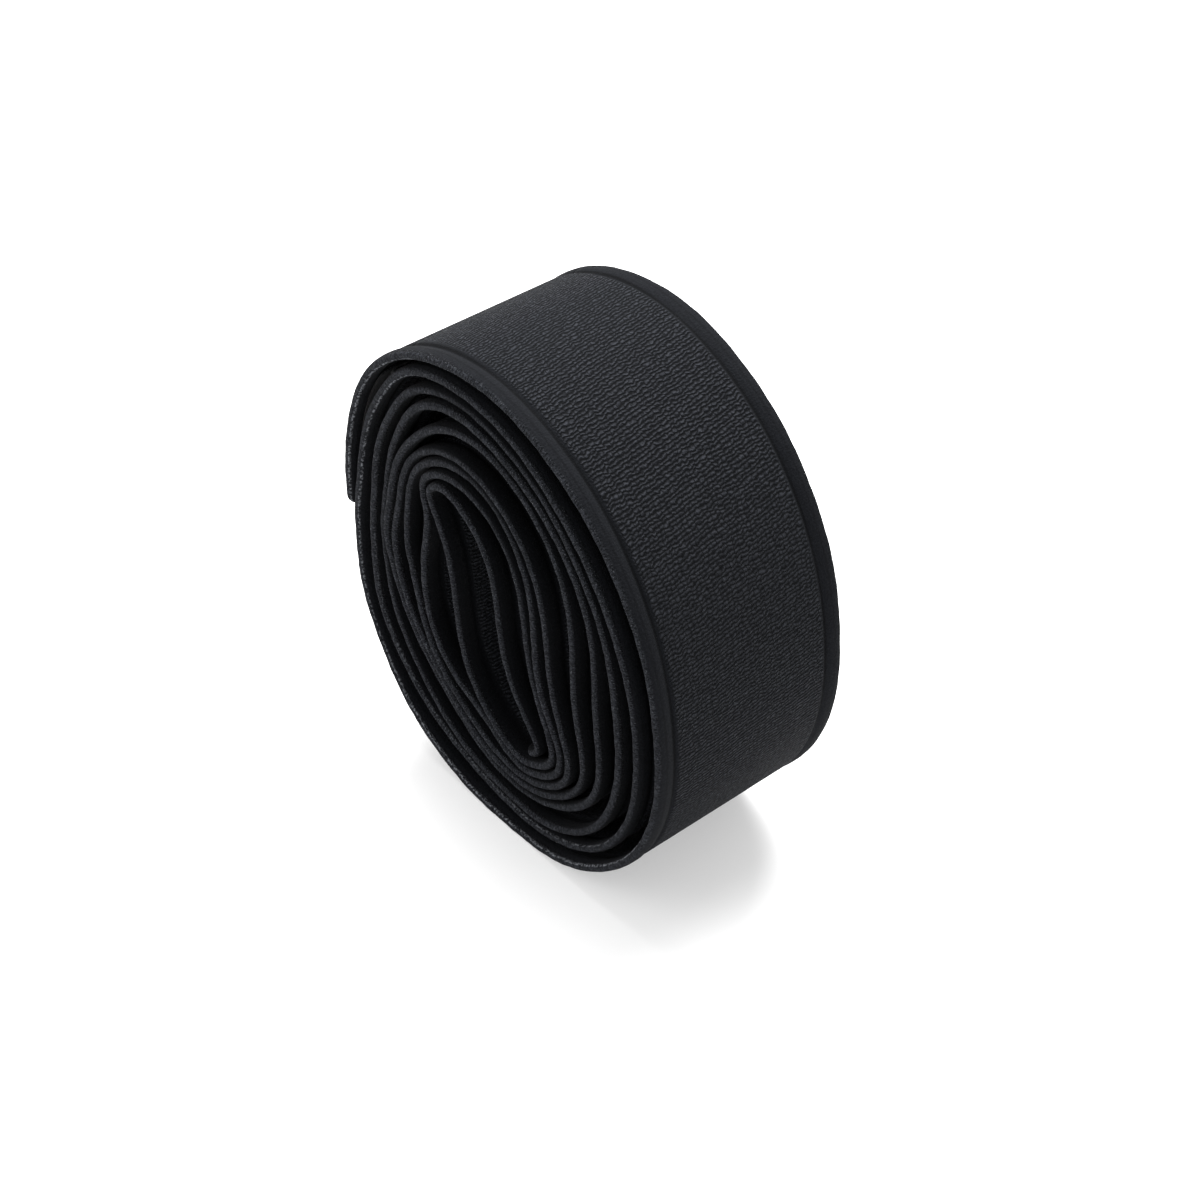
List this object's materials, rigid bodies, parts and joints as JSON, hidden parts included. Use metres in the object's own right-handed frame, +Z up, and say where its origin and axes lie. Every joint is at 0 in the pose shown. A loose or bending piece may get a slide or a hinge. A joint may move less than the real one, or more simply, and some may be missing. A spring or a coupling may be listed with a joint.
{
  "type": "hand wrap",
  "caption": "Boxing hand wrap: a long black elastic strap wound into a roll standing on its rim, with a hook-and-loop tail and a thumb loop in the core.",
  "frame": {"origin": "middle of the underside, where the roll rests on its rim", "axes": "+Y along the roll's axis and across the strap's width, +Z up, +X across the roll"},
  "size_m": [0.1038, 0.05, 0.1157],
  "materials": {
    "strap": "matte woven elastic",
    "tape": "plain woven tape",
    "hook": "woven hook fastener",
    "loop": "brushed loop pile",
    "thread": "sewing thread"
  },
  "bodies": {
    "root": {"strap_turn_1": "strap", "strap_turn_2": "strap", "strap_turn_3": "strap", "strap_turn_4": "strap", "strap_turn_5": "strap", "strap_turn_6": "strap", "strap_turn_7": "strap", "strap_turn_8": "strap", "strap_turn_9": "strap", "loop_patch": "loop", "loop_patch_seam": "thread", "core_hem_seam": "thread", "thumb_loop_seam": "thread"},
    "closure_tab": {"closure_tab": "strap", "hook_patch": "hook", "hook_patch_seam": "thread", "tail_hem_seam": "thread"},
    "thumb_loop": {"thumb_loop": "tape"}
  },
  "joints": [
    {"name": "closure_peel", "type": "hinge", "parent": "root", "child": "closure_tab", "pos_m": [-0.03059, 0, 0.10787], "axis": [0, 1, 0], "range_deg": [0, 140]},
    {"name": "thumb_loop_swing", "type": "hinge", "parent": "root", "child": "thumb_loop", "pos_m": [0.01126, 0, 0.03097], "axis": [0, -1, 0], "range_deg": [0, 10]}
  ]
}
